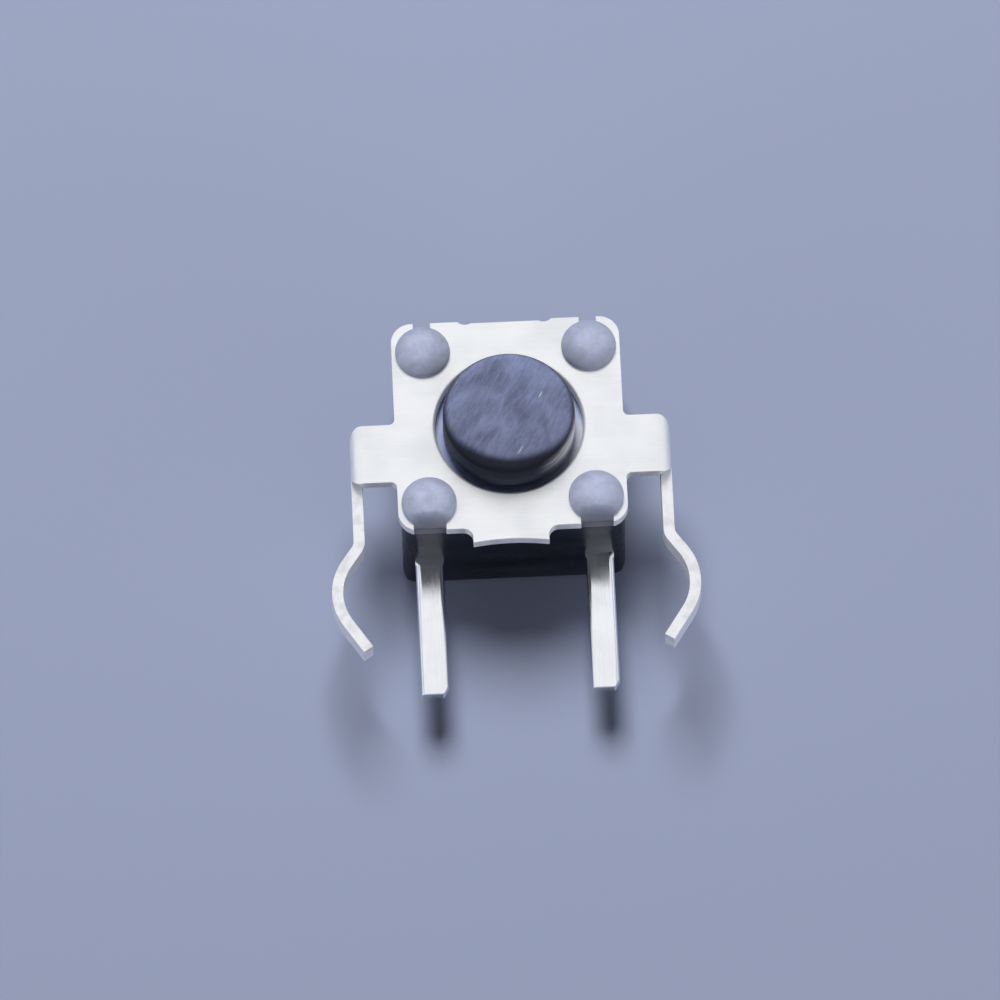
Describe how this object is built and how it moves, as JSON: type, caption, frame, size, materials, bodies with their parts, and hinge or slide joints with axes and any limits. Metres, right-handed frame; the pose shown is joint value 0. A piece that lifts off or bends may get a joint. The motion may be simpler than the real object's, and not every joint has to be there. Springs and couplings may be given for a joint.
{
  "type": "tactile switch",
  "caption": "Right-angle tactile push switch with a round button, a bright snap-in cover bracket and straight terminals.",
  "frame": {"origin": "centre of the moulded base's back face, on the button axis", "axes": "+Z is the way the button faces, +X is to the right, and the terminals and snap legs point to -Y"},
  "size_m": [0.0096, 0.01, 0.0043],
  "materials": {
    "black_plastic": "semi-gloss moulded",
    "button_plastic": "fine matte moulded",
    "tinned_brass": "bright tin plate",
    "spring_steel": "bright rolled",
    "tinned_steel": "bright tin plate"
  },
  "bodies": {
    "switch": {"base": "black_plastic", "contact_terminal": "tinned_brass", "common_terminal": "tinned_brass", "snap_dome": "spring_steel", "cover_bracket": "tinned_steel"},
    "button": {"plunger": "button_plastic"}
  },
  "joints": [
    {"name": "button_press", "type": "slide", "parent": "switch", "child": "button", "axis": [0, 0, -1], "range_m": [0, 0.00025], "stiffness_N_per_m": 6400, "deforming": ["snap_dome"]}
  ]
}
